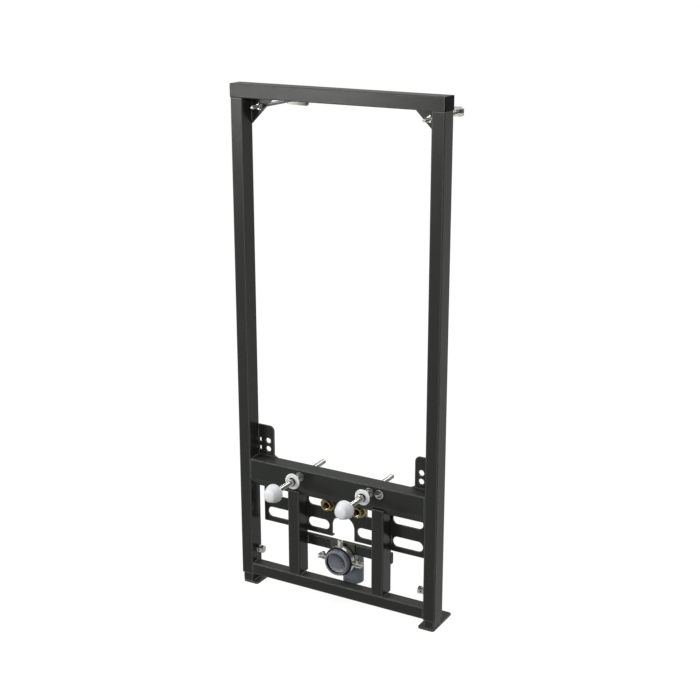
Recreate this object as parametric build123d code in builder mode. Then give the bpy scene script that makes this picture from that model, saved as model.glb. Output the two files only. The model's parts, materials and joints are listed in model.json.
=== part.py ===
"""Floor-standing installation frame for a wall-hung bidet, with telescopic feet.

Millimetres, +Z up, -Y is the front where the bidet hangs.
The origin lies on the floor, in the middle of the frame's outline.
Depths are measured back from the posts' front faces.
"""
import os
from math import sqrt

from build123d import *

os.makedirs("parts", exist_ok=True)

# Whole frame
frame_width = 510.0
frame_height = 1175.0
cap_reach = 134.0
wall_reach = 169.0
sides = (("left", -1), ("right", 1))

# Tube shared by the posts, the top beam and the uprights
tube_width = 30.0
tube_depth = 40.0
tube_wall = 2.0
tube_bend = 0.5
tube_radius = tube_bend + tube_wall

# Places that follow from the sizes above
front_y = (cap_reach - wall_reach) / 2
mid_y = front_y + tube_depth / 2
back_y = front_y + tube_depth
post_x = (frame_width - tube_width) / 2
inner_half = frame_width / 2 - tube_width
post_bottom = 24.0
post_top = frame_height - tube_width

# Fits
slide_gap = 0.5
hole_gap = 0.3
plug_gap = 0.2

# Top beam and its plugs
plug_flange = 2.5
plug_edge = 1.0
plug_length = 14.0
plug_proud = 1.0
top_beam_half = frame_width / 2 + plug_proud - plug_flange

# Mounting beam: folded profile with a raked lower front, hung from the height of the bidet's rods
rod_z = 302.5
rod_edge = 16.5
beam_height = 65.0
beam_skirt = 17.0
beam_rake = 8.0
beam_wall = 2.5
beam_bend = 0.5
beam_radius = beam_bend + beam_wall
beam_top = rod_z + rod_edge
beam_bottom = beam_top - beam_height
beam_fold = beam_bottom + beam_skirt

# Bottom beam
low_beam_height = 28.0
low_beam_depth = 30.0
low_beam_rise = 1.0
low_beam_bottom = post_bottom + low_beam_rise
low_beam_top = low_beam_bottom + low_beam_height

# Uprights between the two lower beams
upright_x = 109.5
upright_bite = 9.0
upright_outer = upright_x + tube_width / 2
upright_inner = upright_x - tube_width / 2

# Corner gussets and the wall rods through them
sheet = 3.0
gusset_leg = 58.0
wall_rod_radius = 4.0
wall_rod_inset = 20.0
wall_rod_x = inner_half - wall_rod_inset
wall_rod_z = post_top - wall_rod_inset
wall_rod_start = 8.0
wall_nut_flats = 13.0
wall_nut_height = 6.5
wall_washer_radius = 8.0
wall_washer = 1.6
wall_plate_width = 58.0
wall_plate_height = 21.0
wall_plate_radius = 6.0
wall_plate_end = 13.0
wall_screw_inset = 12.0
wall_screw_radius = 4.0

# Ears beside the posts
ear_width = 42.5
ear_height = 75.0
ear_corner = 12.0
ear_toe = 9.0
ear_hole_inset = 26.6
ear_hole_radius = 6.5
ear_hole_rises = (37.6, 17.4)
ear_slot_inset = 5.0
ear_slot_width = 5.0
ear_slot_height = 9.0
ear_inner_x = inner_half - ear_width
ear_top = beam_top + ear_height

# Drain elbow, the bar behind it and the plate on that bar
drain_z = 104.3
drain_mouth = 4.3
plate_on_bar = 3.5
socket_gap = 0.5
socket_radius = 30.2
socket_round = 3.7
socket_open = 24.8
socket_edge = 0.6
socket_length = tube_depth - plate_on_bar - socket_gap - drain_mouth
seal_start = 1.0
seal_length = 6.0
seal_groove = 27.0
seal_inner = 24.0
seal_end = drain_mouth + seal_start + seal_length
pipe_radius = 24.5
pipe_wall = 2.2
bend_radius = 30.0
pipe_back = 48.0
pipe_y = tube_depth + pipe_back
bend_start = pipe_y - bend_radius
pipe_bottom = 28.0
bar_height = 27.0
bar_depth = 10.0
bar_rise = 13.2
bar_gap = 3.0
bar_bottom = drain_z + bar_rise
bar_top = bar_bottom + bar_height
bar_notch = pipe_radius + bar_gap
bracket_half = 32.0
bracket_height = 20.5

# Two-part drain clamp in a rubber liner that wraps over its edges
liner_start = 17.0
liner_thick = 2.0
liner_lip = 2.0
liner_over = 0.4
liner_end = tube_depth - plate_on_bar
band_thick = 1.8
band_length = 14.5
band_ear = 22.8
band_split = 5.0
band_inner = socket_radius + liner_thick
band_outer = band_inner + band_thick
band_start = liner_start + liner_lip
band_end = band_start + band_length
clamp_depth = band_start + band_length / 2
clamp_grip = band_split + 2 * band_thick
clamp_screw_radius = 2.5
clamp_screw_x = band_outer + band_ear / 2
clamp_screw_end = 0.5
clamp_head_radius = 4.2
clamp_head = 6.0
clamp_nut_flats = 8.0
clamp_nut = 3.0
boss_flats = 12.0
boss_height = 15.0
boss_bore = 4.0

# Connection plate between the mounting beam and the drain bar
plate_end_gap = 11.0
plate_bar_gap = 8.0
plate_overlap = 3.5
plate_half = inner_half - plate_end_gap
plate_bottom = bar_top + plate_bar_gap
plate_top = beam_bottom + plate_overlap
plate_thick = 2.5
plate_lip = 11.0
slot_height = 24.0
slot_edge = 25.0
slot_rows = (plate_bottom + slot_edge, plate_top - slot_edge)
arch_radius = 28.7
arch_web = 8.3
arch_rise = 27.5
arch_z = plate_bottom + arch_rise
tap_x = 40.0
tap_room = 13.0
outer_slot_gap = 3.9
outer_slot_margin = 10.4
inner_slot_gap = 2.0
outer_slot = (upright_outer + outer_slot_gap, plate_half - outer_slot_margin)
inner_slot_end = upright_inner - inner_slot_gap
inner_slot_starts = (arch_radius + arch_web, tap_x - tap_room)

# Brass tap elbows
tap_flange = (37.0, 29.0)
tap_flange_thick = 3.0
tap_ring_radius = 12.5
tap_ring_length = 8.0
tap_thread_radius = 9.3
tap_thread_length = 10.0
tap_body_radius = 8.5
tap_slot_gap = 0.5
tap_z = slot_rows[1] - slot_height / 2 + tap_body_radius + tap_slot_gap
tap_leg_back = 26.0
tap_leg_length = 41.5
tap_tail_radius = 10.4
tap_tail_length = 14.0
tap_way_radius = 6.0
tap_nut_flats = 30.0
tap_nut_height = 4.0
tap_screw_x = 14.6
tap_screw_radius = 1.8

# Bidet fixings
rod_radius = 6.0
rod_x = 90.0
rod_tail = 66.0
insert_flange_radius = 10.8
insert_flange = 3.5
insert_edge = 0.8
insert_gap = 3.4
insert_barrel_radius = 8.0
insert_length = 20.0
insert_minor_radius = 5.1
spare_x = rod_x + 2 * insert_flange_radius + insert_gap
bush_start = 31.0
bush_thick = 3.5
bush_edge = 1.2
bush_radius = 18.4
bush_neck_radius = 8.5
bush_neck = 8.0
washer_radius = 9.8
washer_thick = 6.0
rod_nut_flats = 18.0
rod_nut_height = 6.0
cap_length = 29.0
cap_back = cap_reach - cap_length
cap_rim_radius = 19.2
cap_radius = 21.0
cap_swell = 5.0
cap_bend = 8.0
cap_nose_radius = 13.2
cap_nose_edge = 5.0
cap_hole_depth = 16.0

# Feet
foot_width = tube_width - 2 * (tube_wall + slide_gap)
foot_depth = tube_depth - 2 * (tube_wall + slide_gap)
foot_tube_radius = 1.5
foot_tube_length = 276.0
foot_plate_thick = 4.0
foot_plate_width = 40.0
foot_plate_depth = 95.0
foot_plate_radius = 6.0
foot_hole_radius = 5.5
foot_hole_gap = 28.0
foot_hole_back = tube_depth + foot_hole_gap
bolt_rise = 61.0
bolt_z = post_bottom + bolt_rise
bolt_radius = 5.0
bolt_nut_flats = 17.0
bolt_nut_height = 8.5
bolt_head_height = 6.5
bolt_shown = 5.0
bolt_tip_gap = 0.3


def front_plane(x, depth, z):
    """Plane facing the front, its local axes X and Z, set back from the posts' front faces."""
    return Plane(origin=(x, front_y + depth, z), x_dir=(1, 0, 0), z_dir=(0, -1, 0))


def side_plane(x, y, z, s):
    """Plane facing outwards along X on side s, its local x axis along Y."""
    return Plane(origin=(x, y, z), x_dir=(0, 1, 0), z_dir=(s, 0, 0))


def tube(width, depth):
    """Hollow tube section in the sketch being built."""
    RectangleRounded(width, depth, tube_radius)
    RectangleRounded(width - 2 * tube_wall, depth - 2 * tube_wall, tube_bend, mode=Mode.SUBTRACT)


def hexagon(flats):
    """Hexagon of the given width across flats in the sketch being built."""
    RegularPolygon(flats / sqrt(3), 6)


def beam_outline():
    """Outer profile of the mounting beam, in the YZ sketch being built."""
    Polygon(
        (front_y, beam_top),
        (front_y, beam_fold),
        (front_y + beam_rake, beam_bottom),
        (back_y, beam_bottom),
        (back_y, beam_top),
        align=None,
    )
    fillet(vertices(), beam_radius)


# Posts
for side, s in sides:
    with BuildPart() as post:
        with BuildSketch(Plane.XY.offset(post_bottom)):
            with Locations((s * post_x, mid_y)):
                tube(tube_width, tube_depth)
        extrude(amount=post_top - post_bottom)
        with BuildSketch(side_plane(s * inner_half, mid_y, bolt_z, s)):
            Circle(bolt_radius + hole_gap)
        extrude(amount=tube_wall, mode=Mode.SUBTRACT)
    post.part.label = f"{side}_post"
    export_step(post.part, f"parts/{side}_post.step")

# Top beam
with BuildPart() as top_beam:
    with BuildSketch(Plane.YZ):
        with Locations((mid_y, frame_height - tube_width / 2)):
            tube(tube_depth, tube_width)
    extrude(amount=top_beam_half, both=True)
top_beam.part.label = "top_beam"
export_step(top_beam.part, "parts/top_beam.step")

# Plugs in the ends of the top beam
for side, s in sides:
    end = side_plane(s * top_beam_half, mid_y, frame_height - tube_width / 2, s)
    with BuildPart() as plug:
        with BuildSketch(end):
            RectangleRounded(tube_depth, tube_width, tube_radius)
        extrude(amount=plug_flange)
        fillet(plug.faces().sort_by(Axis.X)[-1 if s > 0 else 0].edges(), plug_edge)
        with BuildSketch(end):
            RectangleRounded(
                tube_depth - 2 * (tube_wall + plug_gap),
                tube_width - 2 * (tube_wall + plug_gap),
                tube_bend,
            )
        extrude(amount=-plug_length)
    plug.part.label = f"{side}_end_plug"
    export_step(plug.part, f"parts/{side}_end_plug.step")

# Mounting beam
with BuildPart() as mounting_beam:
    with BuildSketch(Plane.YZ):
        beam_outline()
        offset(amount=-beam_wall, mode=Mode.SUBTRACT)
    extrude(amount=inner_half, both=True)
    with BuildSketch(front_plane(0, 0, rod_z)):
        with Locations(*[(x, 0) for x in (-rod_x, rod_x, spare_x)]):
            Circle(insert_barrel_radius + plug_gap)
    extrude(amount=-tube_depth / 2, mode=Mode.SUBTRACT)
    with BuildSketch(front_plane(0, tube_depth / 2, rod_z)):
        with Locations((-rod_x, 0), (rod_x, 0)):
            Circle(rod_radius + hole_gap)
    extrude(amount=-tube_depth / 2, mode=Mode.SUBTRACT)
mounting_beam.part.label = "mounting_beam"
export_step(mounting_beam.part, "parts/mounting_beam.step")

# Bottom beam
with BuildPart() as bottom_beam:
    with BuildSketch(Plane.YZ):
        with Locations((front_y + low_beam_depth / 2, (low_beam_bottom + low_beam_top) / 2)):
            tube(low_beam_depth, low_beam_height)
    extrude(amount=inner_half, both=True)
bottom_beam.part.label = "bottom_beam"
export_step(bottom_beam.part, "parts/bottom_beam.step")

# Uprights, their tops shaped to the mounting beam
for side, s in sides:
    with BuildPart() as upright:
        with BuildSketch(Plane.XY.offset(low_beam_top)):
            with Locations((s * upright_x, mid_y)):
                tube(tube_width, tube_depth)
        extrude(amount=beam_bottom + upright_bite - low_beam_top)
        with BuildSketch(Plane.YZ):
            beam_outline()
        extrude(amount=inner_half, both=True, mode=Mode.SUBTRACT)
    upright.part.label = f"{side}_upright"
    export_step(upright.part, f"parts/{side}_upright.step")

# Corner gussets under the top beam
for side, s in sides:
    with BuildPart() as gusset:
        with BuildSketch(front_plane(0, tube_depth - sheet, 0)):
            with BuildLine():
                Polyline(
                    (s * inner_half, post_top),
                    (s * (inner_half - gusset_leg), post_top),
                    (s * inner_half, post_top - gusset_leg),
                    close=True,
                )
            make_face()
            with Locations((s * wall_rod_x, wall_rod_z)):
                Circle(wall_rod_radius + hole_gap, mode=Mode.SUBTRACT)
        extrude(amount=-sheet)
    gusset.part.label = f"{side}_gusset"
    export_step(gusset.part, f"parts/{side}_gusset.step")

# Wall rods, each with its nuts and washers on the gusset
for side, s in sides:
    with BuildPart() as wall_rod:
        with BuildSketch(front_plane(s * wall_rod_x, wall_rod_start, wall_rod_z)):
            Circle(wall_rod_radius)
        extrude(amount=-(wall_reach - sheet - wall_rod_start))
    wall_rod.part.label = f"{side}_wall_rod"
    export_step(wall_rod.part, f"parts/{side}_wall_rod.step")

    with BuildPart() as wall_nut:
        with BuildSketch(front_plane(s * wall_rod_x, tube_depth - sheet, wall_rod_z)):
            Circle(wall_washer_radius)
        extrude(amount=wall_washer)
        with BuildSketch(front_plane(s * wall_rod_x, tube_depth - sheet - wall_washer, wall_rod_z)):
            hexagon(wall_nut_flats)
        extrude(amount=wall_nut_height)
        with BuildSketch(front_plane(s * wall_rod_x, tube_depth, wall_rod_z)):
            Circle(wall_rod_radius)
        extrude(amount=tube_depth, mode=Mode.SUBTRACT)
    wall_nut.part.label = f"{side}_wall_nut"
    export_step(wall_nut.part, f"parts/{side}_wall_nut.step")

# Plates that screw to the wall
for side, s in sides:
    plate_x = s * (wall_rod_x + wall_plate_end - wall_plate_width / 2)
    screw_x = s * (wall_plate_width / 2 - wall_screw_inset)
    with BuildPart() as wall_plate:
        with BuildSketch(front_plane(plate_x, wall_reach - sheet, wall_rod_z)):
            RectangleRounded(wall_plate_width, wall_plate_height, wall_plate_radius)
            with Locations((-screw_x, 0)):
                Circle(wall_screw_radius, mode=Mode.SUBTRACT)
        extrude(amount=-sheet)
    wall_plate.part.label = f"{side}_wall_plate"
    export_step(wall_plate.part, f"parts/{side}_wall_plate.step")

# Punched ears beside the posts
for side, s in sides:
    with BuildPart() as ear:
        with BuildSketch(front_plane(0, tube_depth - sheet, 0)):
            with BuildLine():
                Polyline(
                    (s * inner_half, ear_top),
                    (s * ear_inner_x, ear_top),
                    (s * ear_inner_x, beam_top + ear_toe / 2),
                    (s * (ear_inner_x - ear_toe), beam_top),
                    (s * (ear_inner_x - ear_toe), beam_top - beam_radius),
                    (s * inner_half, beam_top - beam_radius),
                    close=True,
                )
            make_face()
            fillet(vertices().sort_by(Axis.Y)[-2:].sort_by(Axis.X)[0 if s > 0 else -1], ear_corner)
            for rise in ear_hole_rises:
                with Locations((s * (inner_half - ear_hole_inset), beam_top + rise)):
                    Circle(ear_hole_radius, mode=Mode.SUBTRACT)
                with Locations((s * (inner_half - ear_slot_inset), beam_top + rise)):
                    Rectangle(ear_slot_width, ear_slot_height, mode=Mode.SUBTRACT)
        extrude(amount=-sheet)
        with BuildSketch(Plane.YZ):
            beam_outline()
        extrude(amount=inner_half, both=True, mode=Mode.SUBTRACT)
    ear.part.label = f"{side}_ear"
    export_step(ear.part, f"parts/{side}_ear.step")

# Slotted connection plate with its central arch and folded lower lip
with BuildPart() as connection_plate:
    with BuildSketch(front_plane(0, tube_depth, (plate_bottom + plate_top) / 2)):
        Rectangle(2 * plate_half, plate_top - plate_bottom)
    extrude(amount=-plate_thick)
    with BuildSketch(front_plane(0, tube_depth, plate_bottom + plate_thick / 2)):
        Rectangle(2 * plate_half, plate_thick)
    extrude(amount=-plate_lip)
    with BuildSketch(front_plane(0, tube_depth, 0)):
        for row, start in zip(slot_rows, inner_slot_starts):
            for low, high in (outer_slot, (start, inner_slot_end)):
                with Locations(((low + high) / 2, row), (-(low + high) / 2, row)):
                    SlotOverall(high - low, slot_height)
        with Locations((0, arch_z)):
            Circle(arch_radius)
        with Locations((0, (arch_z + plate_bottom) / 2)):
            Rectangle(2 * arch_radius, arch_z - plate_bottom)
    extrude(amount=-plate_lip, mode=Mode.SUBTRACT)
connection_plate.part.label = "connection_plate"
export_step(connection_plate.part, "parts/connection_plate.step")

# Brass tap elbows: flange, threaded port, body through the slot and a leg turned down
tap_mouth = tube_depth - tap_flange_thick - tap_ring_length
tap_leg_y = back_y + tap_leg_back
tap_leg_end = tap_z - tap_leg_length
for side, s in sides:
    with BuildPart() as tap_elbow:
        with BuildSketch(front_plane(s * tap_x, tube_depth, tap_z)):
            Ellipse(tap_flange[0] / 2, tap_flange[1] / 2)
        extrude(amount=tap_flange_thick)
        with BuildSketch(front_plane(s * tap_x, tube_depth - tap_flange_thick, tap_z)):
            Circle(tap_ring_radius)
        extrude(amount=tap_ring_length)
        with BuildSketch(front_plane(s * tap_x, tube_depth, tap_z)):
            Circle(tap_body_radius)
        extrude(amount=-tap_leg_back)
        with BuildSketch(front_plane(s * tap_x, tube_depth + plate_thick, tap_z)):
            hexagon(tap_nut_flats)
        extrude(amount=-tap_nut_height)
        with Locations((s * tap_x, tap_leg_y, tap_z)):
            Sphere(tap_body_radius)
        leg = Plane(origin=(s * tap_x, tap_leg_y, tap_leg_end))
        with BuildSketch(leg):
            Circle(tap_body_radius)
        extrude(amount=tap_leg_length)
        with BuildSketch(leg):
            Circle(tap_tail_radius)
        extrude(amount=tap_tail_length)
        with BuildSketch(front_plane(s * tap_x, tap_mouth, tap_z)):
            Circle(tap_thread_radius)
        extrude(amount=-tap_thread_length, mode=Mode.SUBTRACT)
        with BuildSketch(front_plane(s * tap_x, tap_mouth, tap_z)):
            Circle(tap_way_radius)
        extrude(amount=-(tube_depth + tap_leg_back - tap_mouth), mode=Mode.SUBTRACT)
        with BuildSketch(leg):
            Circle(tap_way_radius)
        extrude(amount=tap_leg_length, mode=Mode.SUBTRACT)
        with BuildSketch(front_plane(s * tap_x, tube_depth, tap_z)):
            with Locations((-tap_screw_x, 0), (tap_screw_x, 0)):
                Circle(tap_screw_radius)
        extrude(amount=tap_flange_thick, mode=Mode.SUBTRACT)
    tap_elbow.part.label = f"{side}_tap_elbow"
    export_step(tap_elbow.part, f"parts/{side}_tap_elbow.step")

# Drain elbow: socket to the front, then the outside and the waterway of the bend and spigot
with BuildPart() as drain_elbow:
    with BuildSketch(front_plane(0, drain_mouth, drain_z)):
        Circle(socket_radius)
    extrude(amount=-socket_length)
    for radius, run_mode in ((pipe_radius, Mode.ADD), (pipe_radius - pipe_wall, Mode.SUBTRACT)):
        with BuildSketch(front_plane(0, seal_end, drain_z)):
            Circle(radius)
        extrude(amount=-(bend_start - seal_end), mode=run_mode)
        with BuildSketch(front_plane(0, bend_start, drain_z)):
            Circle(radius)
        bend_axis = Axis((0, front_y + bend_start, drain_z - bend_radius), (-1, 0, 0))
        revolve(axis=bend_axis, revolution_arc=90, mode=run_mode)
        with BuildSketch(Plane.XY.offset(pipe_bottom)):
            with Locations((0, front_y + pipe_y)):
                Circle(radius)
        extrude(amount=drain_z - bend_radius - pipe_bottom, mode=run_mode)
    with BuildSketch(front_plane(0, drain_mouth, drain_z)):
        Circle(socket_open)
    extrude(amount=-seal_start, mode=Mode.SUBTRACT)
    with BuildSketch(front_plane(0, drain_mouth + seal_start, drain_z)):
        Circle(seal_groove)
    extrude(amount=-seal_length, mode=Mode.SUBTRACT)
    fillet(drain_elbow.faces().sort_by(Axis.Y)[0].edges().sort_by(SortBy.LENGTH)[-1], socket_round)
    fillet(drain_elbow.faces().sort_by(Axis.Y)[0].edges().sort_by(SortBy.LENGTH)[0], socket_edge)
drain_elbow.part.label = "drain_elbow"
export_step(drain_elbow.part, "parts/drain_elbow.step")

# Lip seal in its groove behind the mouth
with BuildPart() as drain_seal:
    with BuildSketch(front_plane(0, drain_mouth + seal_start, drain_z)):
        Circle(seal_groove)
        Circle(seal_inner, mode=Mode.SUBTRACT)
    extrude(amount=-seal_length)
drain_seal.part.label = "drain_seal"
export_step(drain_seal.part, "parts/drain_seal.step")

# Bar behind the uprights, notched over the drain pipe
with BuildPart() as drain_bar:
    with BuildSketch(Plane.YZ):
        with Locations((back_y + bar_depth / 2, (bar_bottom + bar_top) / 2)):
            tube(bar_depth, bar_height)
    extrude(amount=upright_outer, both=True)
    with BuildSketch(front_plane(0, tube_depth, drain_z)):
        Circle(bar_notch)
    extrude(amount=-bar_depth, mode=Mode.SUBTRACT)
drain_bar.part.label = "drain_bar"
export_step(drain_bar.part, "parts/drain_bar.step")

# Plate on the front of that bar, which the clamp seats against
with BuildPart() as clamp_bracket:
    with BuildSketch(front_plane(0, tube_depth, drain_z)):
        with Locations((0, bar_top - drain_z - bracket_height / 2)):
            Rectangle(2 * bracket_half, bracket_height)
        Circle(bar_notch, mode=Mode.SUBTRACT)
    extrude(amount=plate_on_bar)
clamp_bracket.part.label = "clamp_bracket"
export_step(clamp_bracket.part, "parts/clamp_bracket.step")

# Rubber liner of the drain clamp: a sleeve with a lip over each edge of the steel
with BuildPart() as clamp_liner:
    with BuildSketch(front_plane(0, liner_start, drain_z)):
        Circle(band_inner)
        Circle(socket_radius, mode=Mode.SUBTRACT)
    extrude(amount=-(liner_end - liner_start))
    for lip_start, lip_end in ((liner_start, band_start), (band_end, liner_end)):
        with BuildSketch(front_plane(0, lip_start, drain_z)):
            Circle(band_outer + liner_over)
            Circle(band_inner, mode=Mode.SUBTRACT)
        extrude(amount=-(lip_end - lip_start))
clamp_liner.part.label = "clamp_liner"
export_step(clamp_liner.part, "parts/clamp_liner.step")

# Steel halves of the drain clamp, each with two screw ears, the upper one with a nut welded on top
for name, s, other_side in (("clamp_upper", 1, Align.MAX), ("clamp_lower", -1, Align.MIN)):
    with BuildPart() as band:
        with BuildSketch(front_plane(0, band_start, drain_z)):
            Circle(band_outer)
            with Locations((0, s * (band_split + band_thick) / 2)):
                Rectangle(2 * (band_outer + band_ear), band_thick)
            with Locations((0, s * band_split / 2)):
                Rectangle(
                    4 * band_outer,
                    2 * band_outer,
                    align=(Align.CENTER, other_side),
                    mode=Mode.SUBTRACT,
                )
            Circle(band_inner, mode=Mode.SUBTRACT)
        extrude(amount=-band_length)
        with BuildSketch(Plane.XY.offset(drain_z)):
            with Locations((-clamp_screw_x, front_y + clamp_depth), (clamp_screw_x, front_y + clamp_depth)):
                Circle(clamp_screw_radius + hole_gap)
        extrude(amount=s * clamp_grip, mode=Mode.SUBTRACT)
        if name == "clamp_upper":
            with BuildSketch(Plane.XY.offset(drain_z + band_outer - band_thick / 2)):
                with Locations((0, front_y + clamp_depth)):
                    hexagon(boss_flats)
                    Circle(boss_bore, mode=Mode.SUBTRACT)
            extrude(amount=boss_height + band_thick / 2)
    band.part.label = name
    export_step(band.part, f"parts/{name}.step")

# Screws through the clamp's ears
for side, s in sides:
    screw_low = Plane(origin=(s * clamp_screw_x, front_y + clamp_depth, drain_z - clamp_grip / 2))
    with BuildPart() as clamp_screw:
        with BuildSketch(screw_low.offset(-clamp_nut - clamp_screw_end)):
            Circle(clamp_screw_radius)
        extrude(amount=clamp_screw_end + clamp_nut + clamp_grip)
        with BuildSketch(screw_low.offset(clamp_grip)):
            Circle(clamp_head_radius)
        extrude(amount=clamp_head)
        with BuildSketch(screw_low.offset(-clamp_nut)):
            hexagon(clamp_nut_flats)
        extrude(amount=clamp_nut)
    clamp_screw.part.label = f"{side}_clamp_screw"
    export_step(clamp_screw.part, f"parts/{side}_clamp_screw.step")

# Threaded inserts in the mounting beam: two in use and a spare one on the right
for name, x, bore in (
    ("left_insert", -rod_x, rod_radius),
    ("right_insert", rod_x, rod_radius),
    ("right_spare_insert", spare_x, insert_minor_radius),
):
    with BuildPart() as insert:
        with BuildSketch(front_plane(x, 0, rod_z)):
            Circle(insert_flange_radius)
        extrude(amount=insert_flange)
        fillet(insert.faces().sort_by(Axis.Y)[0].edges(), insert_edge)
        with BuildSketch(front_plane(x, 0, rod_z)):
            Circle(insert_barrel_radius)
        extrude(amount=-insert_length)
        with BuildSketch(front_plane(x, -insert_flange, rod_z)):
            Circle(bore)
        extrude(amount=-(insert_flange + insert_length), mode=Mode.SUBTRACT)
    insert.part.label = name
    export_step(insert.part, f"parts/{name}.step")

# Bidet fixing rods
for side, s in sides:
    with BuildPart() as rod:
        with BuildSketch(front_plane(s * rod_x, tube_depth + rod_tail, rod_z)):
            Circle(rod_radius)
        extrude(amount=tube_depth + rod_tail + cap_back + cap_hole_depth)
    rod.part.label = f"{side}_fixing_rod"
    export_step(rod.part, f"parts/{side}_fixing_rod.step")

# White bushes, then a washer and nut on each rod
for side, s in sides:
    with BuildPart() as bush:
        with BuildSketch(front_plane(s * rod_x, -bush_start, rod_z)):
            Circle(bush_radius)
        extrude(amount=bush_thick)
        fillet(bush.edges(), bush_edge)
        with BuildSketch(front_plane(s * rod_x, -bush_start, rod_z)):
            Circle(bush_neck_radius)
        extrude(amount=-bush_neck)
        with BuildSketch(front_plane(s * rod_x, 0, rod_z)):
            Circle(rod_radius)
        extrude(amount=bush_start + bush_thick, mode=Mode.SUBTRACT)
    bush.part.label = f"{side}_bush"
    export_step(bush.part, f"parts/{side}_bush.step")

    stack = bush_start + bush_thick
    with BuildPart() as rod_nut:
        with BuildSketch(front_plane(s * rod_x, -stack, rod_z)):
            Circle(washer_radius)
        extrude(amount=washer_thick)
        with BuildSketch(front_plane(s * rod_x, -stack - washer_thick, rod_z)):
            hexagon(rod_nut_flats)
        extrude(amount=rod_nut_height)
        with BuildSketch(front_plane(s * rod_x, 0, rod_z)):
            Circle(rod_radius)
        extrude(amount=2 * stack, mode=Mode.SUBTRACT)
    rod_nut.part.label = f"{side}_rod_nut"
    export_step(rod_nut.part, f"parts/{side}_rod_nut.step")

# White protective caps on the rod ends
for side, s in sides:
    axis_plane = Plane(origin=(s * rod_x, front_y, rod_z), x_dir=(0, -1, 0), z_dir=(1, 0, 0))
    with BuildPart() as cap:
        with BuildSketch(axis_plane):
            Polygon(
                (cap_back + cap_hole_depth, 0),
                (cap_back + cap_hole_depth, rod_radius),
                (cap_back, rod_radius),
                (cap_back, cap_rim_radius),
                (cap_back + cap_swell, cap_radius),
                (cap_reach, cap_nose_radius),
                (cap_reach, 0),
                align=None,
            )
            fillet(vertices().sort_by(Axis.Y)[-1], cap_bend)
            fillet(vertices().group_by(Axis.X)[-1].sort_by(Axis.Y)[-1], cap_nose_edge)
        revolve(axis=Axis((s * rod_x, front_y, rod_z), (0, -1, 0)))
    cap.part.label = f"{side}_rod_cap"
    export_step(cap.part, f"parts/{side}_rod_cap.step")

# Telescopic feet: inner tubes, each on a floor plate
for side, s in sides:
    with BuildPart() as foot:
        with BuildSketch(Plane.XY.offset(foot_plate_thick)):
            with Locations((s * post_x, mid_y)):
                RectangleRounded(foot_width, foot_depth, foot_tube_radius)
                Rectangle(foot_width - 2 * tube_wall, foot_depth - 2 * tube_wall, mode=Mode.SUBTRACT)
        extrude(amount=foot_tube_length)
    foot.part.label = f"{side}_foot"
    export_step(foot.part, f"parts/{side}_foot.step")

    plate_x = s * (post_x + foot_width / 2 - foot_plate_width / 2)
    with BuildPart() as foot_plate:
        with BuildSketch(Plane.XY):
            with Locations((plate_x, front_y + foot_plate_depth / 2)):
                RectangleRounded(foot_plate_width, foot_plate_depth, foot_plate_radius)
            with Locations((plate_x, front_y + foot_hole_back)):
                Circle(foot_hole_radius, mode=Mode.SUBTRACT)
        extrude(amount=foot_plate_thick)
    foot_plate.part.label = f"{side}_foot_plate"
    export_step(foot_plate.part, f"parts/{side}_foot_plate.step")

# Clamp bolts for the feet, in nuts welded to the posts
for side, s in sides:
    with BuildPart() as weld_nut:
        with BuildSketch(side_plane(s * inner_half, mid_y, bolt_z, -s)):
            hexagon(bolt_nut_flats)
            Circle(bolt_radius, mode=Mode.SUBTRACT)
        extrude(amount=bolt_nut_height)
    weld_nut.part.label = f"{side}_weld_nut"
    export_step(weld_nut.part, f"parts/{side}_weld_nut.step")

    reach = tube_wall + slide_gap - bolt_tip_gap
    with BuildPart() as foot_bolt:
        with BuildSketch(side_plane(s * (inner_half + reach), mid_y, bolt_z, -s)):
            Circle(bolt_radius)
        extrude(amount=reach + bolt_nut_height + bolt_shown)
        with BuildSketch(side_plane(s * (inner_half - bolt_nut_height - bolt_shown), mid_y, bolt_z, -s)):
            hexagon(bolt_nut_flats)
        extrude(amount=bolt_head_height)
    foot_bolt.part.label = f"{side}_foot_bolt"
    export_step(foot_bolt.part, f"parts/{side}_foot_bolt.step")
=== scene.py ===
# %% [markdown]
# # A steel installation frame for a bidet
# The real thing is a welded frame of steel tube, painted charcoal in an oven-cured powder coat. It
# carries zinc-plated rods and nuts, white plastic bushes and caps, two brass tap elbows and a grey drain
# elbow. The solids arrive in their true places, so the work here is their finish and the fine detail on
# them.

# %% Load the frame
import json
import math

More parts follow.
